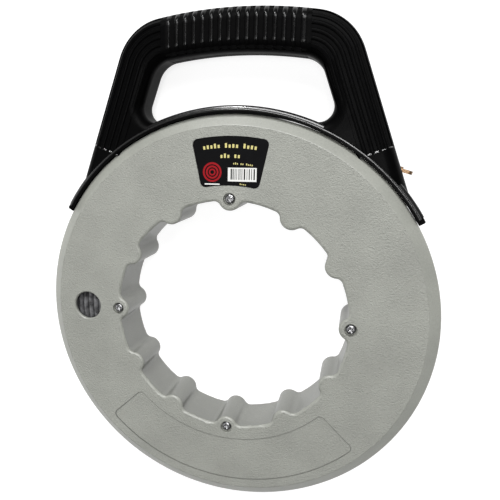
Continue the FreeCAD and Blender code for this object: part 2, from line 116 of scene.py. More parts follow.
# --- the stage, in metres -------------------------------------------------------------------------------
FLOOR_REACH = 6.0
FLOOR_GAP = 0.1 * MM
# each light's name, which is also its setting's, with its place and size
LIGHTS = (("key", (0.25, 1.05, 1.25), (1.2, 0.5)), ("fill", (-0.9, -0.2, 1.0), (1.0, 1.0)),
          ("spark", (-0.30, 1.25, 0.80), (0.14, 0.10)), ("top", (0.1, 0.1, 1.7), (0.5, 0.5)))
CAMERA_PLACE = (0.0899, 0.1300, 0.4132)
CAMERA_VIEW = (-0.2668, -0.2185, -0.9387)
CAMERA_UP = (-0.0646, 0.9759, -0.2088)
CAMERA_SHIFT = (0.0853, 0.0232)


# --- sizes and colours that a user would change ---------------------------------------------------------

def colour_property(name, description, default):
    return bpy.props.FloatVectorProperty(name=name, description=description, subtype="COLOR", size=3,
                                         min=0.0, max=1.0, default=default)


def length_property(name, description, default):
    return bpy.props.FloatProperty(name=name, description=description, default=default, unit="LENGTH",
                                   precision=5)


def number_property(name, description, default, unit="NONE"):
    return bpy.props.FloatProperty(name=name, description=description, default=default, unit=unit)


class CaseLooks(bpy.types.PropertyGroup):
    plastic: colour_property("Plastic", "Colour of the moulded case", (0.326, 0.333, 0.299))
    grain: length_property("Grain", "Size of the grain moulded into the flat faces", 1.15 * MM)
    grain_depth: length_property("Grain depth", "Height of that grain", 0.2 * MM)
    shine: number_property("Shine", "How much light the case mirrors", 0.8)
    field_inner: length_property("Field inner", "From the reel axis to the sunk field", 99.8 * MM)
    field_outer: length_property("Field outer", "From the axis to the field's outer edge",
                                 134.7 * MM)
    field_half_angle: number_property("Field half angle", "How far the sunk field reaches each way",
                                      radians(46.4), "ROTATION")
    field_corner: length_property("Field corner", "Radius of the field's corners", 4.0 * MM)
    # painted shade: a thin dark line is painted round the sunk field, along its edge
    field_shade_line: length_property("Field line", "Half width of the dark line round the field", 0.32 * MM)
    # painted shade: the case's upright walls inside this radius, the hub's finger wall, are darkened in the
    # colour
    hub_reach: length_property("Hub reach", "The hub's finger wall lies inside this radius", 92.0 * MM)
    smooth_roughness: number_property("Smooth roughness", "Roughness of the chamfers and edges", 0.38)
    # the darkest tone serves both the random mottling and the painted shade on the hub wall and round the
    # field
    tone_and_shade_share: number_property("Dull share", "Darkest tone, as a share of the plastic's colour", 0.46)


class TapeSizes(bpy.types.PropertyGroup):
    diameter: length_property("Diameter", "Thickness of the tape", 4.5 * MM)
    turns_across: bpy.props.IntProperty(name="Turns across", description="Turns side by side", default=7)
    turns_deep: bpy.props.IntProperty(name="Turns deep", description="Layers of turns", default=9)
    steps: bpy.props.IntProperty(name="Steps", description="Straight steps in a turn", default=90)
    start_angle: number_property("Start", "Where the first turn begins", radians(45), "ROTATION")
    foot_angle: number_property("Foot angle", "Where the tape leaves the coil, from the X axis",
                                radians(73.6), "ROTATION")
    lead_turn: number_property("Lead turn", "How far the tape's lead reaches back round the coil",
                               radians(84), "ROTATION")
    lead_reach: length_property("Lead reach", "How far it goes on straight past the coil", 14.0 * MM)
    lead_gap: length_property("Lead gap", "Between the coil and the lead", 0.5 * MM)
    lead_share: number_property("Lead share", "The lead's thickness, as a share of the tape's", 0.97)
    crossing: number_property("Crossing", "Share of a turn in which it crosses to the next one", 0.09)
    jacket: colour_property("Jacket", "Colour of the tape", (0.13, 0.13, 0.135))


class LabelSizes(bpy.types.PropertyGroup):
    film: colour_property("Film", "Colour of the label", (0.004, 0.004, 0.0045))
    yellow: colour_property("Yellow", "Colour of the printed lines", (0.56, 0.50, 0.20))
    red: colour_property("Red", "Colour of the printed sign", (0.27, 0.006, 0.010))
    white: colour_property("White", "Colour of the printed box", (0.68, 0.68, 0.66))
    print_thickness: length_property("Print", "Thickness of the print", 0.04 * MM)


class ScrewSizes(bpy.types.PropertyGroup):
    case_head: length_property("Case head", "Radius of a case screw's head", 3.7 * MM)
    case_head_height: length_property("Case head height", "Height of that head", 2.2 * MM)
    case_shank: length_property("Case shank", "Radius of a case screw's thread", 2.0 * MM)
    handle_head: length_property("Handle head", "Radius of a handle screw's head", 3.2 * MM)
    handle_head_height: length_property("Handle head height", "Height of that head", 2.0 * MM)
    handle_shank: length_property("Handle shank", "Radius of a handle screw's thread", 1.7 * MM)
    steel: colour_property("Steel", "Colour of the plated screws", (0.31, 0.31, 0.315))
    segments: bpy.props.IntProperty(name="Segments", description="Facets round a head", default=50)


class HandleLooks(bpy.types.PropertyGroup):
    plastic: colour_property("Plastic", "Colour of the handle", (0.0016, 0.0016, 0.0017))
    roughness: number_property("Roughness", "0 is a mirror", 0.36)
    crest_roughness: number_property("Crest roughness", "Roughness of the polished ribs and rolled edges",
                                     0.2)
    hollow_roughness: number_property("Hollow roughness", "Roughness between the ribs of the grip", 0.5)
    shine: number_property("Shine", "How much light the plastic mirrors", 0.025)
    crest_shine: number_property("Crest shine", "How much light the polished places mirror", 0.9)
    rib_shine: number_property("Rib shine", "How much light the ribs of the grip mirror", 0.2)
    crown_radius: length_property("Crown radius", "Radius of the arched top", 341.0 * MM)
    grip_thickness: length_property("Grip thickness", "Thickness of the grip under the crown", 29.7 * MM)
    leg_thickness: length_property("Leg thickness", "Thickness of each leg", 28.9 * MM)
    leg_offset: length_property("Leg offset", "From the reel axis to a leg's outer side", 147.6 * MM)
    leg_lean: number_property("Leg lean", "Lean of each leg", radians(20), "ROTATION")
    shoulder_round: length_property("Shoulder", "Radius of the outer shoulder", 40.0 * MM)
    edge_round: length_property("Edge round", "Radius of the handle's long edges", 9.0 * MM)
    ridge_count: bpy.props.IntProperty(name="Ridges", description="Long ridges on a leg", default=5)
    ridge_start: length_property("Ridge start", "Along the leg, where the ridges begin", 82.5 * MM)
    ridge_height: length_property("Ridge height", "Height of the ridges in the frame", 0.7 * MM)
    end_width: length_property("Step width", "Width of the round step at the hollows' lower ends", 2.2 * MM)
    roll_lean: number_property("Roll lean", "How far the saddle's rolled edges face outwards",
                               radians(22), "ROTATION")
    lip_roll: length_property("Lip roll", "Radius of the rolled edge of the saddle's lip", 0.95 * MM)
    band_width: length_property("Band roll width", "Width of the roll on the saddle's outer edge", 3.8 * MM)
    band_rise: length_property("Band roll rise", "Half thickness of that roll", 0.95 * MM)
    lip_radius: length_property("Lip roll", "From the reel axis to the roll on the saddle's lip", 152.6 * MM)
    lip_height: length_property("Lip roll height", "From the middle plane to that roll", 16.9 * MM)
    band_radius: length_property("Band roll", "From the reel axis to the roll on its outer edge", 154.0 * MM)
    band_height: length_property("Band roll height", "From the middle plane to that roll", 13.7 * MM)
    grip_end: length_property("Grip end", "Where the ridges meet the grip", 53.0 * MM)
    rib_count: bpy.props.IntProperty(name="Ribs", description="Ribs across the grip", default=16)
    rib_pitch: length_property("Rib pitch", "From one rib to the next", 6.3 * MM)
    rib_height: length_property("Rib height", "Height of the ribs in the frame", 0.8 * MM)
    rib_stop: length_property("Rib stop", "The ribs end this far from the underside", 1.7 * MM)
    rib_ramp: length_property("Rib ramp", "Over this depth the hollows run out", 1.6 * MM)
    rib_width: length_property("Rib width", "Width of a rib at its foot", 3.2 * MM)
    inlay_half: length_property("Inlay half", "From the middle to the grip inlay's end", 49.85 * MM)
    inlay_thickness: length_property("Inlay thickness", "Thickness of the grip inlay", 1.6 * MM)
    bead_width: length_property("Bead width", "Width of the rounded ridges", 2.9 * MM)
    bead_height: length_property("Bead height", "Height of those above the hollows", 0.95 * MM)
    saddle_half_angle: number_property("Saddle half angle", "How far the saddle's rolled edges reach",
                                       radians(58.2), "ROTATION")


class StageSizes(bpy.types.PropertyGroup):
    floor: colour_property("Floor", "Colour of the floor", (0.34, 0.34, 0.34))
    key: number_property("Key light", "Power of the main light", 21.5, "POWER")
    fill: number_property("Fill light", "Power of the side light", 3.5, "POWER")
    top: number_property("Top light", "Power of the light overhead", 9.0, "POWER")
    spark: number_property("Spark light", "Power of the small light that glints on edges", 8.0, "POWER")
    surround: number_property("Surround", "Strength of the even light", 0.14)
    glow: number_property("Floor glow", "Own light of the floor", 0.82)
    lens: number_property("Lens", "Focal length in millimetres", 38.33)


SETTINGS = {
    "reel_case": CaseLooks,
    "reel_tape": TapeSizes,
    "reel_label": LabelSizes,
    "reel_screw": ScrewSizes,
    "reel_handle": HandleLooks,
    "reel_stage": StageSizes,
}


# --- node helpers ---------------------------------------------------------------------------------------

def feed(tree, socket, value):
    """Links a socket, or sets it when the value is a plain number or colour."""
    if isinstance(value, bpy.types.NodeSocket):
        tree.links.new(value, socket)
    elif value is not None:
        socket.default_value = value


def add(tree, kind, *values, **named):
    """Adds a node. Values go to its inputs in order; named ones are settings, or inputs by their name."""
    node = tree.nodes.new(kind)
    for key, value in named.items():
        if hasattr(node, key) and key not in node.inputs:
            setattr(node, key, value)
    for socket, value in zip(node.inputs, values):
        feed(tree, socket, value)
    for key, value in named.items():
        if key in node.inputs:
            feed(tree, node.inputs[key], value)
    return node


def calc(tree, operation, *values):
    """A math node's result, in a shader tree or a geometry tree."""
    return add(tree, "ShaderNodeMath", *values, operation=operation).outputs[0]


def flat_length(tree, x, y):
    """The length of a vector in the plane."""
    return calc(tree, "SQRT", calc(tree, "ADD", calc(tree, "MULTIPLY", x, x), calc(tree, "MULTIPLY", y, y)))


def polar_point(tree, radius, angle, height):
    """The place at a distance from the Z axis, an angle round it and a height."""
    return add(tree, "ShaderNodeCombineXYZ", calc(tree, "MULTIPLY", radius, calc(tree, "COSINE", angle)),
               calc(tree, "MULTIPLY", radius, calc(tree, "SINE", angle)), height).outputs[0]


def geometry_tree(name, **inputs):
    """An empty geometry tree with its named inputs. Gives the tree and its group input's sockets."""
    tree = bpy.data.node_groups.new(name, "GeometryNodeTree")
    tree.interface.new_socket("Geometry", in_out="INPUT", socket_type="NodeSocketGeometry")
    for key, value in inputs.items():
        kind = "NodeSocketInt" if isinstance(value, int) else "NodeSocketFloat"
        if isinstance(value, bpy.types.Material):
            kind = "NodeSocketMaterial"
        socket = tree.interface.new_socket(key, in_out="INPUT", socket_type=kind)
        if not isinstance(value, bpy.types.Material):
            socket.default_value = value
    tree.interface.new_socket("Geometry", in_out="OUTPUT", socket_type="NodeSocketGeometry")
    return tree, add(tree, "NodeGroupInput").outputs


def end_tree(tree, geometry, material):
    realized = add(tree, "GeometryNodeRealizeInstances", geometry).outputs[0]
    realized = add(tree, "GeometryNodeSetShadeSmooth", Geometry=realized).outputs[0]
    painted = add(tree, "GeometryNodeSetMaterial", Geometry=realized, Material=material).outputs[0]
    add(tree, "NodeGroupOutput", painted)


def new_object(name, mesh, body):
    piece = bpy.data.objects.new(name, mesh)
    bpy.context.scene.collection.objects.link(piece)
    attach(piece, body)
    return piece


def from_tree(name, tree, inputs, body, base=None):
    """Runs a geometry tree on a base mesh and keeps its result as a plain mesh on a body."""
    carrier = bpy.data.objects.new(name + "_carrier", base or bpy.data.meshes.new(name))
    bpy.context.scene.collection.objects.link(carrier)
    modifier = carrier.modifiers.new(name, "NODES")
    modifier.node_group = tree
    for item in tree.interface.items_tree:
        if item.in_out == "INPUT" and item.name in inputs:
            modifier[item.identifier] = inputs[item.name]
    evaluated = carrier.evaluated_get(bpy.context.evaluated_depsgraph_get())
    mesh = bpy.data.meshes.new_from_object(evaluated)
    carrier.modifiers.remove(modifier)
    bpy.data.objects.remove(carrier)
    mesh.name = name
    return new_object(name, mesh, body)


def from_parts(name, vertices, faces, body, materials, face_materials=None, smooth=True):
    """A piece from plain lists of points and faces."""
    mesh = bpy.data.meshes.new(name)
    mesh.from_pydata(vertices, [], faces)
    for material in materials:
        mesh.materials.append(material)
    if face_materials is not None:
        mesh.polygons.foreach_set("material_index", face_materials)
    mesh.polygons.foreach_set("use_smooth", [smooth] * len(mesh.polygons))
    mesh.update()
    return new_object(name, mesh, body)


# --- materials ------------------------------------------------------------------------------------------

def new_material(name, colour, roughness, metallic=0.0, shine=0.5):
    """A material with its shader. Gives the material, its tree, the shader and the object coordinates."""
    material = bpy.data.materials.new(name)
    material.use_nodes = True
    tree = material.node_tree
    shader = tree.nodes["Principled BSDF"]
    shader.inputs["Base Color"].default_value = (*colour, 1.0)
    shader.inputs["Roughness"].default_value = roughness
    shader.inputs["Metallic"].default_value = metallic
    shader.inputs["Specular IOR Level"].default_value = shine
    place = add(tree, "ShaderNodeTexCoord").outputs["Object"]
    return material, tree, shader, place


def noise(tree, place, size, detail=2.0):
    """A noise pattern whose lumps have the given size."""
    return add(tree, "ShaderNodeTexNoise", Vector=place, Scale=1 / size, Detail=detail).outputs["Fac"]


def varied(tree, shader, name, pattern, low, high):
    """Spreads one of the shader's numbers over a pattern."""
    ramp = add(tree, "ShaderNodeMapRange", pattern, *NOISE_RANGE, low, high)
    tree.links.new(ramp.outputs["Result"], shader.inputs[name])


def tinted(tree, shader, pattern, colour, darker, low=NOISE_RANGE[0]):
    """Spreads the base colour over a pattern, down to a share of the colour."""
    high = NOISE_RANGE[1]
    dark = (*[channel * darker for channel in colour], 1.0)
    mix = add(tree, "ShaderNodeMix", data_type="RGBA")
    feed(tree, mix.inputs[0], add(tree, "ShaderNodeMapRange", pattern, low, high, 0.0, 1.0).outputs[0])
    feed(tree, mix.inputs[6], dark)
    feed(tree, mix.inputs[7], (*colour, 1.0))
    tree.links.new(mix.outputs[2], shader.inputs["Base Color"])


def bumped(tree, shader, pattern, depth):
    bump = add(tree, "ShaderNodeBump", Height=pattern, Strength=1.0, Distance=depth)
    tree.links.new(bump.outputs[0], shader.inputs["Normal"])


def finished(kind, name, colour, roughness, metallic=0.0, shine=0.5, darkest=None):
    """A material of one of the listed finishes."""
    finish = FINISHES[kind]
    material, tree, shader, place = new_material(name, colour, roughness, metallic, shine)
    marks = place
    if metallic:
        marks = add(tree, "ShaderNodeMapping", Vector=place, Scale=TOOL_MARKS).outputs[0]
    if "wear" in finish:
        size, detail, less, more = finish["wear"]
        lumps = noise(tree, marks, size, detail)
        varied(tree, shader, "Roughness", lumps, roughness - less, roughness + more)
    size, detail, dark = finish["tone"]
    tinted(tree, shader, noise(tree, place, size, detail), colour, darkest or dark)
    size, detail, height = finish["relief"]
    bumped(tree, shader, noise(tree, marks, size, detail), height)
    return material


def painted_field_shade(tree, looks, axes, radius):
    """Painted shade: 1 on the thin line round the sunk field at the bottom of both faces, along its sunk
    edge, and 0 elsewhere.
    """
    middle = (looks.field_inner + looks.field_outer) / 2
    angle = calc(tree, "ARCTAN2", axes[0], calc(tree, "MULTIPLY", axes[1], -1.0))
    reaches = ((calc(tree, "SUBTRACT", radius, middle), looks.field_outer - middle),
               (calc(tree, "MULTIPLY", angle, middle), looks.field_half_angle * middle))
    past = [calc(tree, "SUBTRACT", calc(tree, "ABSOLUTE", reach), half - looks.field_corner)
            for reach, half in reaches]
    outside = flat_length(tree, *[calc(tree, "MAXIMUM", value, 0.0) for value in past])
    inside = calc(tree, "MINIMUM", calc(tree, "MAXIMUM", *past), 0.0)
    distance = calc(tree, "SUBTRACT", calc(tree, "ADD", outside, inside), looks.field_corner)
    return calc(tree, "LESS_THAN", calc(tree, "ABSOLUTE", distance), looks.field_shade_line)


def case_material(looks):
    """Sandblasted flat faces; smooth satin chamfers and edges; painted shade darkens the hub's inner wall and
    a thin line round the sunk field.
    """
    flat, steep = 0.985, 0.3                # the upright share of a flat face's and a wall's direction
    fine_size, fine_share = 0.45, 0.4       # of the grain's size and height
    smooth_relief = 0.08                    # how much of the grain the smooth places keep
    stretch = 6                             # the noise's slope is this much gentler than its height
    # shade_tone: how far the painted shade darkens the colour
    cloud_size, cloud_tone, grain_tone, shade_tone, grain_roughness = 0.03, 0.4, 0.3, 0.5, 0.3
    colour = tuple(looks.plastic)
    material, tree, shader, place = new_material("case_plastic", colour, 0.45, shine=looks.shine)
    normal = add(tree, "ShaderNodeTexCoord").outputs["Normal"]
    upright = calc(tree, "ABSOLUTE", add(tree, "ShaderNodeSeparateXYZ", normal).outputs[2])
    grained = calc(tree, "GREATER_THAN", upright, flat)
    axes = add(tree, "ShaderNodeSeparateXYZ", place).outputs
    radius = flat_length(tree, axes[0], axes[1])
    # painted shade: mask of the hub's upright inner wall, inside hub_reach
    painted_hub_shade = calc(tree, "MULTIPLY", calc(tree, "LESS_THAN", upright, steep),
                    calc(tree, "LESS_THAN", radius, looks.hub_reach))
    turned = add(tree, "ShaderNodeMapping", Vector=place, Rotation=(0.5, 0.7, 0.4)).outputs[0]
    grain = noise(tree, turned, looks.grain, 2.0)
    fine = noise(tree, turned, looks.grain * fine_size, 1.0)
    both = calc(tree, "ADD", calc(tree, "MULTIPLY", grain, 1 - fine_share),
                calc(tree, "MULTIPLY", fine, fine_share))
    share = calc(tree, "ADD", calc(tree, "MULTIPLY", grained, 1 - smooth_relief), smooth_relief)
    bumped(tree, shader, calc(tree, "MULTIPLY", both, share), looks.grain_depth * stretch)
    clouds = calc(tree, "MULTIPLY", noise(tree, place, cloud_size), cloud_tone)
    specks = calc(tree, "MULTIPLY", calc(tree, "ADD", grain, fine), grain_tone)
    # painted shade on the hub wall and along the field's edge is taken off the colour
    painted_shade = calc(tree, "ADD", painted_hub_shade, painted_field_shade(tree, looks, axes, radius))
    spread = calc(tree, "SUBTRACT", calc(tree, "ADD", clouds, specks),
                  calc(tree, "MULTIPLY", painted_shade, shade_tone))
    tinted(tree, shader, spread, colour, looks.tone_and_shade_share, low=0.0)
    rough = calc(tree, "ADD", looks.smooth_roughness, calc(tree, "MULTIPLY", grained, grain_roughness))
    tree.links.new(rough, shader.inputs["Roughness"])
    return material


def repaint(node, material):
    """Gives a CAD node its material."""
    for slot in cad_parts[node].material_slots:
        slot.material = material


# --- labels ---------------------------------------------------------------------------------------------

def arc_plate(inner, outer, start, end, bottom, top, steps=2):
    """A flat plate between two radii and two angles, as points and faces."""
    points = []
    for step in range(steps + 1):
        angle = start + (end - start) * step / steps
        for radius in (inner, outer):
            for height in (bottom, top):
                points.append((radius * cos(angle), radius * sin(angle), height))
    faces = [(0, 1, 3, 2), tuple(4 * steps + index for index in (0, 2, 3, 1))]
    for step in range(steps):
        here, ahead = 4 * step, 4 * step + 4
        for a, b in ((0, 2), (2, 3), (3, 1), (1, 0)):
            faces.append((here + a, here + b, ahead + b, ahead + a))
    return points, faces


def box_plate(low, high, bottom, top):
    """A flat box between two corners in millimetres."""
    (x0, y0), (x1, y1) = [(x * MM, y * MM) for x, y in (low, high)]
    points = [(x, y, z) for z in (bottom, top) for x, y in ((x0, y0), (x1, y0), (x1, y1), (x0, y1))]
    faces = [(3, 2, 1, 0), (4, 5, 6, 7)]
    faces += [(side, (side + 1) % 4, (side + 1) % 4 + 4, side + 4) for side in range(4)]
    return points, faces


def ring_plate(centre, inner, outer, bottom, top, steps=32):
    """A flat ring round a point, with its radii in millimetres."""
    points, faces = [], []
    for step in range(steps):
        angle = 2 * pi * step / steps
        for radius in (inner, outer):
            for height in (bottom, top):
                points.append(((centre[0] + radius * cos(angle)) * MM,
                               (centre[1] + radius * sin(angle)) * MM, height))
    for step in range(steps):
        here, ahead = 4 * step, 4 * ((step + 1) % steps)
        for a, b in ((0, 2), (2, 3), (3, 1), (1, 0)):
            faces.append((here + a, here + b, ahead + b, ahead + a))
    return points, faces


def label_art(thickness):
    """The printed shapes as (ink, points, faces): rows of blocks, a ring sign, a bar and a striped box."""
    bottom, top = LABEL_SURFACE - 0.2 * thickness, LABEL_SURFACE + thickness
    shapes = []
    for middle, height, angle, counts, pitch in LABEL_ROWS:
        low = middle - height / 2
        for count in counts:
            for index in range(count):
                tall = height * BLOCK_HEIGHTS[(index + count) % len(BLOCK_HEIGHTS)]
                block = arc_plate(low * MM, (low + tall) * MM, radians(90 - angle - BLOCK_SHARE * pitch),
                                  radians(90 - angle), bottom, top)
                shapes.append(("yellow", *block))
                angle += pitch
            angle += pitch
    for inner, outer in SIGN_RINGS:
        shapes.append(("red", *ring_plate(SIGN_CENTRE, inner, outer, bottom, top)))
    for low, high in (BAR, STRIPED_BOX):
        shapes.append(("white", *box_plate(low, high, bottom, top)))
    (place, last), (low, high) = STRIPES
    while place < last:
        index = int(place * STRIPE_MIX)
        width = STRIPE_WIDTHS[index % len(STRIPE_WIDTHS)]
        stripe = box_plate((place, low), (place + width, high), bottom, top + 0.5 * thickness)
        shapes.append(("black", *stripe))
        place += width + STRIPE_GAPS[index % len(STRIPE_GAPS)]
    return shapes


def printed(name, thickness, inks, turned):
    """All the print of one label in one piece; the back one is turned over about the middle line."""
    names = list(inks)
    vertices, faces, face_inks = [], [], []
    for ink, points, loops in label_art(thickness):
        base = len(vertices)
        vertices += [(-x, y, CASE_WIDTH - z) for x, y, z in points] if turned else points
        faces += [tuple(base + index for index in loop) for loop in loops]
        face_inks += [names.index(ink)] * len(loops)
    return from_parts(name, vertices, faces, "reel", list(inks.values()), face_inks,
                      smooth=False)


class REEL_OT_labels(bpy.types.Operator):
    """Paints the label films and lays generic print on them"""
    bl_idname = "reel.labels"
    bl_label = "Labels"

    def execute(self, context):
        sizes = context.scene.reel_label
        inks = {
            name: finished("ink", "ink_" + name, tuple(colour), 0.4, shine=0.1)
            for name, colour in (("yellow", sizes.yellow), ("red", sizes.red), ("white", sizes.white),
                                 ("black", sizes.film))
        }
        film = finished("smooth", "label_film", tuple(sizes.film), 0.5, shine=0.04)
        repaint("front_label", film)
        repaint("back_label", film)
        printed("front_print", sizes.print_thickness, inks, turned=False)
        printed("back_print", sizes.print_thickness, inks, turned=True)
        return {"FINISHED"}


# --- case -----------------------------------------------------------------------------------------------

class REEL_OT_case(bpy.types.Operator):
    """Finishes both case shells"""
    bl_idname = "reel.case"
    bl_label = "Case"

    def execute(self, context):
        material = case_material(context.scene.reel_case)
        repaint("front_case", material)
        repaint("back_case", material)
        return {"FINISHED"}


# --- tape -----------------------------------------------------------------------------------------------

def coil_tree(material):
    """A winding of round tape: each turn keeps its place and crosses to the next one in a short arc."""
    tree, given = geometry_tree("wound_tape", Diameter=4.5 * MM, Across=7, Deep=9, Steps=90, Inner=0.0972,
                                Low=0.004, Start=0.0, Crossing=0.1, Sides=10, Finish=material)
    turns = calc(tree, "MULTIPLY", given["Across"], given["Deep"])
    count = calc(tree, "ADD", calc(tree, "MULTIPLY", turns, given["Steps"]), 1.0)
    line = add(tree, "GeometryNodeMeshLine", Count=count).outputs[0]
    turn = calc(tree, "DIVIDE", add(tree, "GeometryNodeInputIndex").outputs[0], given["Steps"])
    whole = calc(tree, "MINIMUM", calc(tree, "FLOOR", turn), calc(tree, "SUBTRACT", turns, 1.0))
    left = calc(tree, "SUBTRACT", calc(tree, "SUBTRACT", turn, whole),
                calc(tree, "SUBTRACT", 1.0, given["Crossing"]))
    crossing = add(tree, "ShaderNodeMapRange", left, 0.0, given["Crossing"], 0.0, 1.0,
                   interpolation_type="SMOOTHSTEP").outputs[0]
    following = calc(tree, "MINIMUM", calc(tree, "ADD", whole, 1.0), calc(tree, "SUBTRACT", turns, 1.0))
    half = calc(tree, "SUBTRACT", given["Across"], 0.5)

    def place_of(number):
        """Across from side to side and back, a layer further out each time."""
        inside = calc(tree, "MODULO", number, calc(tree, "MULTIPLY", given["Across"], 2.0))
        column = calc(tree, "SUBTRACT", half, calc(tree, "ABSOLUTE", calc(tree, "SUBTRACT", inside, half)))
        layer = calc(tree, "FLOOR", calc(tree, "DIVIDE", number, given["Across"]))
        return column, layer

    def blended(first, second):
        step = calc(tree, "SUBTRACT", second, first)
        return calc(tree, "ADD", first, calc(tree, "MULTIPLY", crossing, step))

    column, layer = [blended(first, second) for first, second in zip(place_of(whole), place_of(following))]
    radius = calc(tree, "ADD", given["Inner"],
                  calc(tree, "MULTIPLY", given["Diameter"], calc(tree, "ADD", layer, 0.5)))
    height = calc(tree, "ADD", given["Low"],
                  calc(tree, "MULTIPLY", given["Diameter"], calc(tree, "ADD", column, 0.5)))
    angle = calc(tree, "SUBTRACT", given["Start"], calc(tree, "MULTIPLY", turn, 2 * pi))
    point = polar_point(tree, radius, angle, height)
    moved = add(tree, "GeometryNodeSetPosition", Geometry=line, Position=point).outputs[0]
    path = add(tree, "GeometryNodeMeshToCurve", moved).outputs[0]
    section = add(tree, "GeometryNodeCurvePrimitiveCircle", Resolution=given["Sides"],
                  Radius=calc(tree, "MULTIPLY", given["Diameter"], 0.495)).outputs[0]
    tube = add(tree, "GeometryNodeCurveToMesh", path, section)
    tube.inputs["Fill Caps"].default_value = True
    end_tree(tree, tube.outputs[0], given["Finish"])
    return tree


def tube_mesh(path, radius, sides=16):
    """A closed round tube along points that lie in one level plane, as points and faces."""
    vertices, faces = [], []
    last = len(path) - 1
    for index, point in enumerate(path):
        along = (path[min(index + 1, last)] - path[max(index - 1, 0)]).normalized()
        across = Vector((-along.y, along.x, 0.0))
        for side in range(sides):
            angle = 2 * pi * side / sides
            vertices.append(point + across * radius * cos(angle) + Vector((0, 0, radius * sin(angle))))
    for index in range(last):
        for side in range(sides):
            ahead = (side + 1) % sides
            faces.append((index * sides + side, (index + 1) * sides + side, (index + 1) * sides + ahead,
                          index * sides + ahead))
    faces.append(tuple(range(sides)))
    faces.append(tuple(last * sides + side for side in reversed(range(sides))))
    return vertices, [face[::-1] for face in faces]


def tape_lead(sizes, material):
    """The last stretch round the coil, which stays with the handle and feeds the tape's end."""
    offset = COIL_OUTER + sizes.lead_gap + sizes.diameter / 2
    foot = sizes.foot_angle
    bends = np.linspace(sizes.lead_turn, 0.0, 29)
    path = [Vector((offset * cos(foot + turn), offset * sin(foot + turn), MIDDLE)) for turn in bends]
    direction = Vector((sin(foot), -cos(foot), 0.0))
    path += [path[-1] + direction * sizes.lead_reach * step / 7 for step in (2, 4, 7)]
    vertices, faces = tube_mesh(path, sizes.diameter / 2 * sizes.lead_share)
    return from_parts("tape_lead", vertices, faces, "handle", [material])


class REEL_OT_tape(bpy.types.Operator):
    """Winds the tape and finishes its end and tip"""
    bl_idname = "reel.tape"
    bl_label = "Tape"

    def execute(self, context):
        sizes = context.scene.reel_tape
        jacket = finished("smooth", "tape_jacket", tuple(sizes.jacket), 0.22, darkest=0.12)
        brass = finished("metal", "tip_brass", (0.27, 0.175, 0.105), 0.42, 1.0)
        layers = sizes.turns_deep * sizes.diameter
        inputs = {"Diameter": sizes.diameter, "Across": sizes.turns_across, "Deep": sizes.turns_deep,
                  "Steps": sizes.steps, "Inner": COIL_OUTER - layers, "Low": coil_low.z,
                  "Start": sizes.start_angle, "Crossing": sizes.crossing, "Sides": 10, "Finish": jacket}
        coil = from_tree("tape_coil", coil_tree(jacket), inputs, "reel")
        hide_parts("wound_tape")
        tape_lead(sizes, jacket)
        repaint("tape_end", jacket)
        for node in ("tip_ferrule", "tip_eye", "anchor_ring"):
            repaint(node, brass)
        return {"FINISHED"}


# --- screws and other metal -----------------------------------------------------------------------------

def polar_of(tree):
    """The distance from the Z axis, the angle round it and the height of each point."""
    axes = add(tree, "ShaderNodeSeparateXYZ", add(tree, "GeometryNodeInputPosition").outputs[0]).outputs
    return flat_length(tree, axes[0], axes[1]), calc(tree, "ARCTAN2", axes[1], axes[0]), axes[2]


def at_polar(tree, geometry, radius, angle, height):
    """Moves each point to a distance, an angle and a height."""
    point = polar_point(tree, radius, angle, height)
    return add(tree, "GeometryNodeSetPosition", Geometry=geometry, Position=point).outputs[0]


def lifted(tree, geometry, height):
    """Moves a shape along Z."""
    shift = add(tree, "ShaderNodeCombineXYZ", 0.0, 0.0, height).outputs[0]
    return add(tree, "GeometryNodeSetPosition", Geometry=geometry, Offset=shift).outputs[0]


def cylinder_of(tree, radius, depth, around, along, rings):
    return add(tree, "GeometryNodeMeshCylinder", Vertices=around, **{"Side Segments": along}, Radius=radius,
               Depth=depth, **{"Fill Segments": rings}, fill_type="TRIANGLE_FAN").outputs[0]


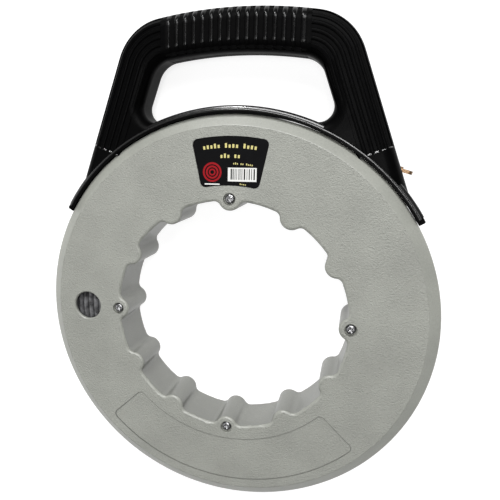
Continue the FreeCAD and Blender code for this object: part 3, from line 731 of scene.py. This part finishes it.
def screw_tree(material):
    """A pan-head screw with a cross recess and a thread at each given point, head up or turned over."""
    rim_share, dome_power, head_rings = 0.3, 4.0, 10            # the rim's height, how square the dome is
    slot_length, slot_width, slot_depth = 1.2, 0.25, 1.3        # shares of the head's radius and height
    thread_sides, thread_steps, thread_depth = 16, 4.0, 0.8     # round, along each pitch, share of the pitch
    cross_turn = 0.3
    tree, given = geometry_tree("screws", Head=3.7 * MM, Height=2.2 * MM, Shank=2.0 * MM, Length=31.3 * MM,
                                Pitch=0.7 * MM, Segments=50, Turn=0.0, Finish=material)
    # the head: a disc whose top is domed
    both_ways = calc(tree, "MULTIPLY", given["Height"], 2.0)
    disc = cylinder_of(tree, given["Head"], both_ways, given["Segments"], 1, head_rings)
    radius, angle, height = polar_of(tree)
    out = calc(tree, "MINIMUM", calc(tree, "DIVIDE", radius, given["Head"]), 1.0)
    fall = calc(tree, "SUBTRACT", 1.0, calc(tree, "POWER", out, dome_power))
    dome = calc(tree, "SQRT", calc(tree, "MAXIMUM", fall, 0.0))
    rise = calc(tree, "ADD", rim_share, calc(tree, "MULTIPLY", dome, 1 - rim_share))
    top = calc(tree, "MULTIPLY", given["Height"], rise)
    upper = calc(tree, "GREATER_THAN", height, 0.0)
    head = at_polar(tree, disc, radius, angle, calc(tree, "MULTIPLY", upper, top))
    # the recess: two crossed slots
    reach = calc(tree, "MULTIPLY", given["Head"], slot_length)
    width = calc(tree, "MULTIPLY", given["Head"], slot_width)
    deep = calc(tree, "MULTIPLY", given["Height"], slot_depth)
    cut = add(tree, "GeometryNodeMeshBoolean", operation="DIFFERENCE", solver="EXACT")
    tree.links.new(head, cut.inputs["Mesh 1"])
    for size in ((reach, width, deep), (width, reach, deep)):
        sides = add(tree, "ShaderNodeCombineXYZ", *size).outputs[0]
        box = add(tree, "GeometryNodeMeshCube", sides).outputs[0]
        tree.links.new(lifted(tree, box, given["Height"]), cut.inputs["Mesh 2"])
    # the shank: a rod with a rolled thread
    steps = calc(tree, "MULTIPLY", calc(tree, "DIVIDE", given["Length"], given["Pitch"]), thread_steps)
    rod = cylinder_of(tree, given["Shank"], given["Length"], thread_sides, steps, 1)
    radius, angle, height = polar_of(tree)
    phase = calc(tree, "SUBTRACT", calc(tree, "DIVIDE", height, given["Pitch"]),
                 calc(tree, "DIVIDE", angle, 2 * pi))
    wave = calc(tree, "MULTIPLY", calc(tree, "PINGPONG", phase, 0.5),
                calc(tree, "MULTIPLY", given["Pitch"], thread_depth))
    on_side = calc(tree, "GREATER_THAN", radius, calc(tree, "MULTIPLY", given["Shank"], 0.5))
    narrowed = calc(tree, "SUBTRACT", radius, calc(tree, "MULTIPLY", wave, on_side))
    thread = at_polar(tree, rod, narrowed, angle, height)
    thread = lifted(tree, thread, calc(tree, "MULTIPLY", given["Length"], -0.5))
    whole = add(tree, "GeometryNodeJoinGeometry")
    tree.links.new(thread, whole.inputs[0])
    tree.links.new(cut.outputs[0], whole.inputs[0])
    turn = add(tree, "ShaderNodeCombineXYZ", given["Turn"], 0.0, cross_turn).outputs[0]
    placed = add(tree, "GeometryNodeInstanceOnPoints", Points=given["Geometry"], Instance=whole.outputs[0])
    tree.links.new(turn, placed.inputs["Rotation"])
    end_tree(tree, placed.outputs[0], given["Finish"])
    return tree


def points_mesh(name, places):
    mesh = bpy.data.meshes.new(name)
    mesh.from_pydata(places, [], [])
    return mesh


def island_middles(node):
    """The middle of each separate solid of a CAD node, as seen along Z."""
    merged = bmesh.new()
    merged.from_mesh(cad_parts[node].data)
    bmesh.ops.remove_doubles(merged, verts=merged.verts, dist=0.01 * MM)
    left = set(merged.verts)
    middles = []
    while left:
        island, to_visit = set(), [left.pop()]
        while to_visit:
            vertex = to_visit.pop()
            island.add(vertex)
            for edge in vertex.link_edges:
                other = edge.other_vert(vertex)
                if other in left:
                    left.discard(other)
                    to_visit.append(other)
        xs = [vertex.co.x for vertex in island]
        ys = [vertex.co.y for vertex in island]
        middles.append(((min(xs) + max(xs)) / 2, (min(ys) + max(ys)) / 2))
    merged.free()
    return sorted(middles)


class REEL_OT_metal(bpy.types.Operator):
    """Finishes the screws, inserts, pin and guide"""
    bl_idname = "reel.metal"
    bl_label = "Metal parts"

    def execute(self, context):
        sizes = context.scene.reel_screw
        steel = finished("metal", "screw_steel", tuple(sizes.steel), 0.3, 1.0)
        repaint("anchor_pin", steel)
        tree = screw_tree(steel)
        seat = screw_high.z - sizes.case_head_height
        places = [(x, y, seat) for x, y in island_middles("case_screws")]
        inputs = {"Head": sizes.case_head, "Height": sizes.case_head_height, "Shank": sizes.case_shank,
                  "Length": seat - screw_low.z, "Pitch": 0.7 * MM, "Segments": sizes.segments, "Turn": 0.0,
                  "Finish": steel}
        screws = from_tree("case_screw_set", tree, inputs, "reel",
                           points_mesh("case_seats", places))
        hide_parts("case_screws")
        seat = handle_screw_low.z + sizes.handle_head_height
        places = [(x, y, seat) for x, y in island_middles("handle_screws")]
        inputs.update({"Head": sizes.handle_head, "Height": sizes.handle_head_height, "Turn": pi,
                       "Shank": sizes.handle_shank, "Length": handle_screw_high.z - seat})
        screws = from_tree("handle_screw_set", tree, inputs, "handle",
                           points_mesh("handle_seats", places))
        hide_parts("handle_screws")
        brass = finished("metal", "insert_brass", (0.72, 0.53, 0.24), 0.3, 1.0)
        for node in ("case_inserts", "handle_inserts"):
            repaint(node, brass)
        repaint("tape_guide", finished("metal", "guide_steel", (0.4, 0.4, 0.41), 0.35, 1.0))
        return {"FINISHED"}


# --- handle ---------------------------------------------------------------------------------------------

def bead_tree(material):
    """Sweeps an oval bead along each given line, with its height along the line's stored facing."""
    tree, given = geometry_tree("beads", Width=2.9 * MM, Height=1.0 * MM, Sides=20, Finish=material)
    curve = add(tree, "GeometryNodeMeshToCurve", given["Geometry"]).outputs[0]
    facing = add(tree, "GeometryNodeInputNamedAttribute", data_type="FLOAT_VECTOR", Name="facing").outputs[0]
    turned = add(tree, "GeometryNodeSetCurveNormal", Curve=curve, mode="FREE", Normal=facing).outputs[0]
    circle = add(tree, "GeometryNodeCurvePrimitiveCircle", Resolution=given["Sides"], Radius=1.0).outputs[0]
    half_width = calc(tree, "MULTIPLY", given["Width"], 0.5)
    scale = add(tree, "ShaderNodeCombineXYZ", given["Height"], half_width, 1.0).outputs[0]
    oval = add(tree, "GeometryNodeTransform", Geometry=circle, Scale=scale).outputs[0]
    tube = add(tree, "GeometryNodeCurveToMesh", turned, oval)
    tube.inputs["Fill Caps"].default_value = True
    end_tree(tree, tube.outputs[0], given["Finish"])
    return tree


def lines_mesh(name, lines):
    """A mesh of separate open lines; each line is a list of (place, facing)."""
    places, edges, facings = [], [], []
    for line in lines:
        base = len(places)
        edges += [(base + step, base + step + 1) for step in range(len(line) - 1)]
        for place, facing in line:
            places.append(place)
            facings += list(facing)
    mesh = bpy.data.meshes.new(name)
    mesh.from_pydata(places, edges, [])
    mesh.attributes.new("facing", "FLOAT_VECTOR", "POINT").data.foreach_set("vector", facings)
    return mesh


def leg_point(sizes, inset, point, outwards, side, front):
    """A place on the hollow floor of a leg or shoulder, and the way the surface faces there."""
    from_side = min(inset, sizes.leg_thickness - inset)
    tilt = max(0.0, 1 - from_side / sizes.edge_round)
    rise = sqrt(1 - tilt ** 2)
    height = grip_high.z - MIDDLE - sizes.edge_round * (1 - rise)
    if inset > sizes.leg_thickness / 2:
        tilt = -tilt
    facing = Vector((outwards.x * tilt * side, outwards.y * tilt, rise * front))
    place = Vector((point.x * side, point.y, MIDDLE + height * front)) - facing * sizes.ridge_height
    return tuple(place), tuple(facing)


def ridge_line(sizes, share, side, front):
    """One long ridge: up the leg, round the shoulder and along the crown to the grip."""
    inset = sizes.leg_thickness * share
    normal = Vector((cos(sizes.leg_lean), sin(sizes.leg_lean)))
    upwards = Vector((-normal.y, normal.x))
    crown = Vector((0.0, grip_high.y - sizes.crown_radius))
    # the shoulder's centre lies its radius inside both the leg's outer side and the crown
    foot = normal * (sizes.leg_offset - sizes.shoulder_round) - crown
    reach = sizes.crown_radius - sizes.shoulder_round
    along = foot.dot(upwards)
    lift = sqrt(along ** 2 - foot.length_squared + reach ** 2) - along
    shoulder = crown + foot + upwards * lift
    last = atan2(shoulder.y - crown.y, shoulder.x - crown.x)
    line = []
    for distance in np.linspace(sizes.ridge_start, lift, 24)[:-1]:
        point = normal * (sizes.leg_offset - inset) + upwards * float(distance)
        line.append(leg_point(sizes, inset, point, normal, side, front))
    for angle in np.linspace(sizes.leg_lean, last, 31):
        outwards = Vector((cos(angle), sin(angle)))
        point = shoulder + outwards * (sizes.shoulder_round - inset)
        line.append(leg_point(sizes, inset, point, outwards, side, front))
    radius = sizes.crown_radius - inset
    for x in np.linspace(point.x, sizes.grip_end, 5)[1:]:
        outwards = Vector((float(x), sqrt(radius ** 2 - float(x) ** 2))) / radius
        line.append(leg_point(sizes, inset, crown + outwards * radius, outwards, side, front))
    return line


def hollow_end(sizes, share, side, front):
    """The rounded step across the leg at the lower end of the hollow beside a ridge."""
    normal = Vector((cos(sizes.leg_lean), sin(sizes.leg_lean)))
    start = Vector((-normal.y, normal.x)) * sizes.ridge_start
    step = sizes.leg_thickness / (sizes.ridge_count + 1)
    insets = [sizes.leg_thickness * share + step * part for part in (0.14, 0.38, 0.62, 0.86)]
    return [leg_point(sizes, inset, normal * (sizes.leg_offset - inset) + start, normal, side, front)
            for inset in insets]


def saddle_roll(sizes, radius, height, front):
    """A rolled edge of the saddle, round the rim, that faces forwards and a little outwards."""
    angles = np.linspace(-sizes.saddle_half_angle, sizes.saddle_half_angle, 121)
    out, up = sin(sizes.roll_lean), cos(sizes.roll_lean) * front
    return [((radius * sin(angle), radius * cos(angle), MIDDLE + height * front),
             (sin(angle) * out, cos(angle) * out, up)) for angle in angles]


def grip_section(sizes):
    """The grip's half section as (depth under the crown, height, facing in depth, facing in height)."""
    half, edge, thickness = grip_high.z - MIDDLE, sizes.edge_round, sizes.grip_thickness
    section = [(0.0, (half - edge) * share, -1.0, 0.0) for share in np.linspace(0, 1, 4)[:-1]]
    for angle in np.linspace(0, pi / 2, 25):
        section.append((edge * (1 - cos(angle)), half - edge * (1 - sin(angle)), -cos(angle), sin(angle)))
    section += [(edge + (thickness - 2 * edge) * share, half, 0.0, 1.0)
                for share in np.linspace(0, 1, 8)[1:-1]]
    for angle in np.linspace(0, pi / 2, 33):
        section.append((thickness - edge * (1 - sin(angle)), half - edge * (1 - cos(angle)),
                        sin(angle), cos(angle)))
    return section + [(thickness, (half - edge) * share, 1.0, 0.0) for share in np.linspace(1, 0, 4)[1:]]


def hollow_depth(sizes, depth, out, up):
    """How much of their depth the hollows have at a place of the section, and whether it is in their ramp."""
    first_up, full_up = 0.26, 0.56              # how far a face looks upwards where the hollows set in
    lead_in = min(1.0, max(0.0, (up - first_up) / (full_up - first_up))) if out <= 0 else 1.0
    run_out = min(1.0, max(0.0, (sizes.grip_thickness - sizes.rib_stop - depth) / sizes.rib_ramp))
    return lead_in * lead_in * (3 - 2 * lead_in) * sqrt(run_out), 0.0 < run_out < 1.0


def rib_distance(sizes, x):
    """How far a place along the grip is from the middle of the nearest rib."""
    half = sizes.rib_pitch / 2
    return abs((x + half * sizes.rib_count) % sizes.rib_pitch - half)


def grip_skin(sizes, name, front, crest_material, hollow_material):
    """One grip inlay as a closed skin, with rounded ribs left standing between its hollows."""
    polished_half, underside = 0.47, 0.2        # share of a rib's width; from here a face looks downwards
    crown = grip_high.y - sizes.crown_radius
    last_rib = sizes.rib_pitch * (sizes.rib_count - 1) / 2
    columns = np.linspace(-sizes.inlay_half, sizes.inlay_half, 401)
    section = grip_section(sizes)
    count = len(section)
    vertices, faces, finishes = [], [], []
    for x in columns:
        off_rib = min(1.0, 2 * rib_distance(sizes, x) / sizes.rib_width)
        crest = sqrt(1 - off_rib ** 2) if abs(x) < last_rib else 1.0
        for inner in (False, True):
            for depth, height, out, up in section:
                share, _ = hollow_depth(sizes, depth, out, up)
                sink = sizes.inlay_thickness if inner else sizes.rib_height * (1 - crest) * share
                radius = sizes.crown_radius - depth + out * sink
                rise = max(0.0, height - up * sink)
                vertices.append((x, crown + sqrt(radius ** 2 - x ** 2), MIDDLE + rise * front))
    ring = list(range(count)) + list(range(2 * count - 1, count - 1, -1))
    for column, x in enumerate(columns[:-1]):
        here, ahead = 2 * count * column, 2 * count * (column + 1)
        on_rib = rib_distance(sizes, x) < polished_half * sizes.rib_width
        for start, end in zip(ring, ring[1:] + ring[:1]):
            faces.append((here + start, here + end, ahead + end, ahead + start))
            depth, _, out, up = section[start % count]
            in_ramp = hollow_depth(sizes, depth, out, up)[1]
            finishes.append(0 if (on_rib and out < underside) or in_ramp else 1)
    for column, order in ((0, 1), (len(columns) - 1, -1)):
        base = 2 * count * column
        for index in range(count - 1):
            quad = (base + index, base + count + index, base + count + index + 1, base + index + 1)
            faces.append(quad[::order])
            finishes.append(0)
    if front < 0:
        faces = [face[::-1] for face in faces]
    return from_parts(name, vertices, faces, "handle", [crest_material, hollow_material],
                      finishes)


class REEL_OT_handle(bpy.types.Operator):
    """Finishes the handle, its grip and the rim shoes"""
    bl_idname = "reel.handle"
    bl_label = "Handle"

    def execute(self, context):
        looks = context.scene.reel_handle
        shell, crest, rib, hollow = [
            finished("black", name, tuple(looks.plastic), roughness, shine=shine)
            for name, roughness, shine in (("handle_plastic", looks.roughness, looks.shine),
                                           ("polished_plastic", looks.crest_roughness, looks.crest_shine),
                                           ("rib_plastic", looks.crest_roughness, looks.rib_shine),
                                           ("hollow_plastic", looks.hollow_roughness, looks.shine))]
        tree = bead_tree(shell)
        ridges = {"Width": looks.bead_width, "Height": looks.bead_height, "Sides": 20, "Finish": shell}
        ends = {**ridges, "Width": looks.end_width, "Height": looks.ridge_height, "Finish": crest}
        lip = {**ridges, "Width": 2 * looks.lip_roll, "Height": looks.lip_roll, "Finish": crest}
        band = {**ridges, "Width": looks.band_width, "Height": looks.band_rise, "Finish": crest}
        between = [index / (looks.ridge_count + 1) for index in range(looks.ridge_count + 1)]
        for half, front in (("front", 1), ("back", -1)):
            beads = (
                ("leg_ridges_", ridges, [ridge_line(looks, share, side, front)
                                         for share in between[1:] for side in (1, -1)]),
                ("ridge_feet_", ends, [hollow_end(looks, share, side, front)
                                       for share in between for side in (1, -1)]),
                ("lip_roll_", lip, [saddle_roll(looks, looks.lip_radius, looks.lip_height, front)]),
                ("band_roll_", band, [saddle_roll(looks, looks.band_radius, looks.band_height, front)]),
            )
            for name, inputs, lines in beads:
                from_tree(name + half, tree, inputs, "handle", lines_mesh(name, lines))
            skin = grip_skin(looks, "grip_rubber_" + half, front, rib, hollow)
            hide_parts("grip_inlay_" + half)
        repaint("handle_front", shell)
        repaint("handle_back", shell)
        acetal = finished("smooth", "shoe_acetal", (0.6, 0.59, 0.55), 0.42)
        repaint("shoe_right", acetal)
        repaint("shoe_left", acetal)
        return {"FINISHED"}


# --- stage ----------------------------------------------------------------------------------------------

def aimed(data, name, place, target, up=None):
    """Places a light or the camera so that it looks at a target."""
    thing = bpy.data.objects.new(name, data)
    bpy.context.scene.collection.objects.link(thing)
    back = (Vector(place) - Vector(target)).normalized()
    if up is None:
        turn = (-back).to_track_quat("-Z", "Y").to_matrix()
    else:
        right = Vector(up).cross(back).normalized()
        turn = Matrix((right, back.cross(right), back)).transposed()
    thing.matrix_world = Matrix.Translation(place) @ turn.to_4x4()
    return thing


def area_light(name, place, target, size, power):
    light = bpy.data.lights.new(name, "AREA")
    light.shape = "RECTANGLE"
    light.size, light.size_y = size
    light.energy = power
    return aimed(light, name, place, target)


class REEL_OT_stage(bpy.types.Operator):
    """Adds the floor, the lights and the camera"""
    bl_idname = "reel.stage"
    bl_label = "Stage"

    def execute(self, context):
        sizes = context.scene.reel_stage
        material, tree, shader, place = new_material("floor", tuple(sizes.floor), 0.9)
        tinted(tree, shader, noise(tree, place, 0.4, 2.0), tuple(sizes.floor), 0.985)
        shader.inputs["Emission Color"].default_value = (1.0, 1.0, 1.0, 1.0)
        shader.inputs["Emission Strength"].default_value = sizes.glow
        mesh = bpy.data.meshes.new("floor")
        corners = ((-1, -1), (1, -1), (1, 1), (-1, 1))
        places = [(x * FLOOR_REACH, y * FLOOR_REACH, cad_low.z - FLOOR_GAP) for x, y in corners]
        mesh.from_pydata(places, [], [(0, 1, 2, 3)])
        mesh.materials.append(material)
        floor = bpy.data.objects.new("floor", mesh)
        context.scene.collection.objects.link(floor)
        middle = (cad_low + cad_high) / 2
        for name, spot, size in LIGHTS:
            area_light(name, spot, middle, size, getattr(sizes, name))
        world = bpy.data.worlds.new("surround")
        context.scene.world = world
        world.use_nodes = True
        background = world.node_tree.nodes["Background"]
        background.inputs["Color"].default_value = (1.0, 1.0, 1.0, 1.0)
        background.inputs["Strength"].default_value = sizes.surround
        lens = bpy.data.cameras.new("camera")
        lens.lens = sizes.lens
        lens.shift_x, lens.shift_y = CAMERA_SHIFT
        lens.clip_start = 0.01
        spot = Vector(CAMERA_PLACE)
        camera = aimed(lens, "camera", spot, spot + Vector(CAMERA_VIEW), CAMERA_UP)
        context.scene.camera = camera
        context.scene.view_settings.view_transform = "Standard"
        return {"FINISHED"}


# --- panel and start ------------------------------------------------------------------------------------

OPERATORS = (REEL_OT_case, REEL_OT_labels, REEL_OT_tape, REEL_OT_metal, REEL_OT_handle, REEL_OT_stage)


class REEL_PT_panel(bpy.types.Panel):
    bl_idname = "REEL_PT_panel"
    bl_label = "Fish tape reel"
    bl_space_type = "VIEW_3D"
    bl_region_type = "UI"
    bl_category = "Fish tape reel"

    def draw(self, context):
        for operator in OPERATORS:
            self.layout.operator(operator.bl_idname)
        for key, group in SETTINGS.items():
            box = self.layout.box()
            for name in group.__annotations__:
                box.prop(getattr(context.scene, key), name)


def register():
    for group in SETTINGS.values():
        bpy.utils.register_class(group)
    for kind in (*OPERATORS, REEL_PT_panel):
        bpy.utils.register_class(kind)
    for key, group in SETTINGS.items():
        setattr(bpy.types.Scene, key, bpy.props.PointerProperty(type=group))


def unregister():
    for key in SETTINGS:
        delattr(bpy.types.Scene, key)
    for kind in reversed((*SETTINGS.values(), *OPERATORS, REEL_PT_panel)):
        bpy.utils.unregister_class(kind)


def main():
    register()
    bpy.ops.reel.case()
    bpy.ops.reel.labels()
    bpy.ops.reel.tape()
    bpy.ops.reel.metal()
    bpy.ops.reel.handle()
    bpy.ops.reel.stage()


if __name__ == "__main__":
    main()
